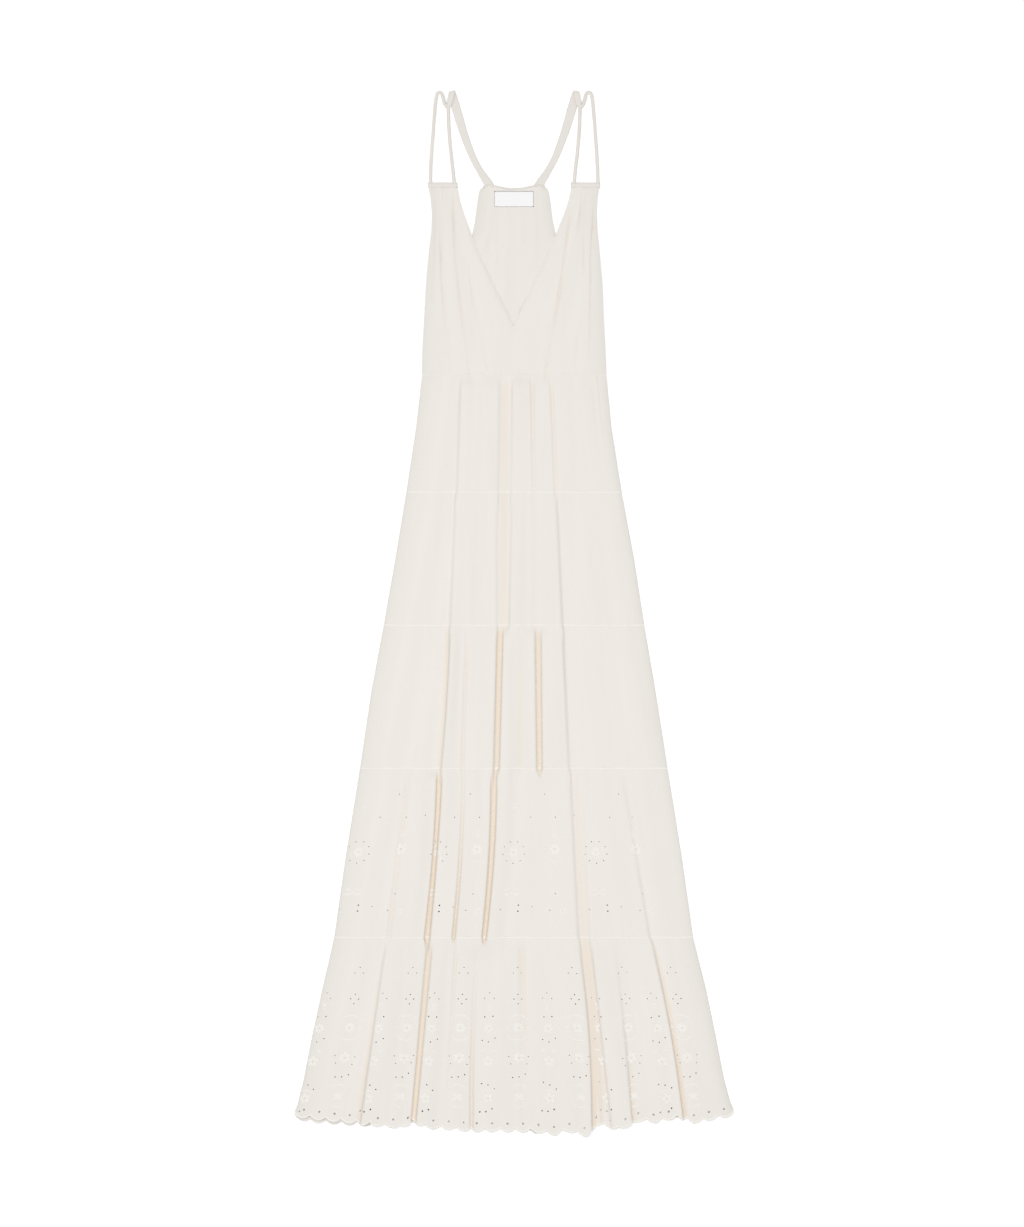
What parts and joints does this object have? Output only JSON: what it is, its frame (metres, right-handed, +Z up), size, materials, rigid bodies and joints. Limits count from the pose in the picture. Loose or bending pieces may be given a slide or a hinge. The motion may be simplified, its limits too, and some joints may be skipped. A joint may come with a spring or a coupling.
{
  "type": "maxi dress laid flat",
  "caption": "Long sleeveless dress laid flat, with a V neck, corded straps, a gathered tiered skirt and a scalloped cutwork hem.",
  "frame": {"origin": "middle of the outline's box, on the surface that the dress lies on", "axes": "+X to the right as the front is seen, which is the wearer's left, +Y from the hem up to the straps, +Z up from the surface, out of the front"},
  "size_m": [0.6146, 1.4634, 0.0109],
  "materials": {
    "cloth": "matte cream cotton voile",
    "trim": "matte cream cotton, cords and bands",
    "label_tape": "smooth white woven tape"
  },
  "bodies": {
    "root": {"bodice_front": "cloth", "bodice_back": "cloth", "neck_binding": "trim", "neck_label": "label_tape", "shoulder_band_left": "trim", "shoulder_band_right": "trim", "strap_outer_left": "trim", "strap_outer_right": "trim", "strap_inner_left": "trim", "strap_inner_right": "trim", "strap_back_left": "trim", "strap_back_right": "trim", "skirt_front_1": "cloth", "skirt_front_2": "cloth", "skirt_front_3": "cloth", "skirt_front_4": "cloth", "skirt_front_5": "cloth", "skirt_back_1": "cloth", "skirt_back_2": "cloth", "skirt_back_3": "cloth", "skirt_back_4": "cloth", "skirt_back_5": "cloth"}
  },
  "joints": []
}
